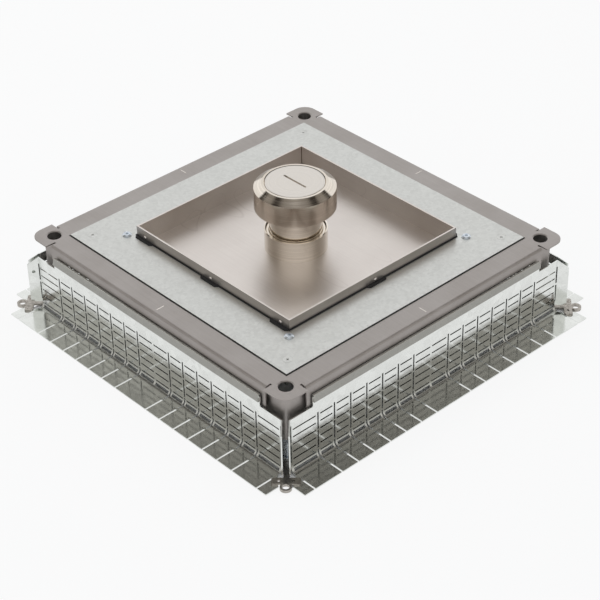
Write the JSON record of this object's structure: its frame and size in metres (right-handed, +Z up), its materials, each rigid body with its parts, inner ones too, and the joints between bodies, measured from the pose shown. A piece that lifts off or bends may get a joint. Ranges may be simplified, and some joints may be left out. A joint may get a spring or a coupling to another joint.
{
  "type": "junction box",
  "caption": "Low square under-floor junction box: perforated knock-out walls, levelling frame, lid plate, square floor tray and a round raised cable outlet tube with a coin-slot cap.",
  "frame": {"origin": "centre of the box on the floor it stands on", "axes": "+Z up, +X towards the right wall, -Y towards the front wall"},
  "size_m": [0.5168, 0.5168, 0.1774],
  "materials": {
    "galvanised_sheet": "satin",
    "stainless_sheet": "satin",
    "turned_steel": "polished",
    "zinc_plated": "bright",
    "rubber": "matt",
    "black_plastic": "matt"
  },
  "bodies": {
    "base": {"wall_front": "galvanised_sheet", "wall_right": "galvanised_sheet", "wall_back": "galvanised_sheet", "wall_left": "galvanised_sheet", "corner_foot_front_right": "galvanised_sheet", "corner_foot_back_right": "galvanised_sheet", "corner_foot_back_left": "galvanised_sheet", "corner_foot_front_left": "galvanised_sheet", "earth_terminal": "zinc_plated"},
    "frame": {"top_frame": "stainless_sheet", "lid_ledge": "galvanised_sheet", "lid_gasket": "rubber", "corner_post_front_right": "stainless_sheet", "corner_post_back_right": "stainless_sheet", "corner_post_back_left": "stainless_sheet", "corner_post_front_left": "stainless_sheet", "levelling_nut_front_right": "zinc_plated", "levelling_nut_back_right": "zinc_plated", "levelling_nut_back_left": "zinc_plated", "levelling_nut_front_left": "zinc_plated"},
    "lid": {"lid_plate": "galvanised_sheet", "lid_screws": "zinc_plated", "bracket_screws": "zinc_plated", "tray_bracket_front_right": "galvanised_sheet", "tray_bracket_back_right": "galvanised_sheet", "tray_bracket_back_left": "galvanised_sheet", "tray_bracket_front_left": "galvanised_sheet"},
    "tray": {"tray": "stainless_sheet", "tray_seal": "rubber", "collar": "turned_steel", "guide_bush": "black_plastic"},
    "locking_ring": {"locking_ring": "turned_steel"},
    "outlet": {"outlet_tube": "turned_steel", "tube_head": "turned_steel", "head_seal": "rubber"},
    "cap": {"cap": "turned_steel", "cap_seal": "rubber"},
    "screw_front_right": {"levelling_screw_front_right": "zinc_plated"},
    "screw_back_right": {"levelling_screw_back_right": "zinc_plated"},
    "screw_back_left": {"levelling_screw_back_left": "zinc_plated"},
    "screw_front_left": {"levelling_screw_front_left": "zinc_plated"}
  },
  "joints": [
    {"name": "frame_level", "type": "slide", "parent": "base", "child": "frame", "axis": [0, 0, 1], "range_m": [-0.025, 0.025]},
    {"name": "lid_lift", "type": "slide", "parent": "frame", "child": "lid", "axis": [0, 0, 1], "range_m": [0, 0.06]},
    {"name": "tray_lift", "type": "slide", "parent": "lid", "child": "tray", "axis": [0, 0, 1], "range_m": [0, 0.08]},
    {"name": "ring_turn", "type": "hinge", "parent": "tray", "child": "locking_ring", "pos_m": [0, 0, 0.11], "axis": [0, 0, 1], "range_deg": [0, 30]},
    {"name": "outlet_slide", "type": "slide", "parent": "tray", "child": "outlet", "axis": [0, 0, 1], "range_m": [-0.0298, 0]},
    {"name": "cap_turn", "type": "hinge", "parent": "outlet", "child": "cap", "pos_m": [0, 0, 0.17], "axis": [0, 0, 1], "range_deg": [0, 90]},
    {"name": "screw_turn_front_right", "type": "hinge", "parent": "base", "child": "screw_front_right", "pos_m": [0.2022, -0.2022, 0.04], "axis": [0, 0, 1], "range_deg": [-7200, 7200]},
    {"name": "screw_turn_back_right", "type": "hinge", "parent": "base", "child": "screw_back_right", "pos_m": [0.2022, 0.2022, 0.04], "axis": [0, 0, 1], "range_deg": [-7200, 7200]},
    {"name": "screw_turn_back_left", "type": "hinge", "parent": "base", "child": "screw_back_left", "pos_m": [-0.2022, 0.2022, 0.04], "axis": [0, 0, 1], "range_deg": [-7200, 7200]},
    {"name": "screw_turn_front_left", "type": "hinge", "parent": "base", "child": "screw_front_left", "pos_m": [-0.2022, -0.2022, 0.04], "axis": [0, 0, 1], "range_deg": [-7200, 7200]}
  ],
  "couplings": [
    {"joint": "screw_turn_front_right", "follows": "frame_level", "rad_per_m": -5026.5},
    {"joint": "screw_turn_back_right", "follows": "frame_level", "rad_per_m": -5026.5},
    {"joint": "screw_turn_back_left", "follows": "frame_level", "rad_per_m": -5026.5},
    {"joint": "screw_turn_front_left", "follows": "frame_level", "rad_per_m": -5026.5}
  ]
}
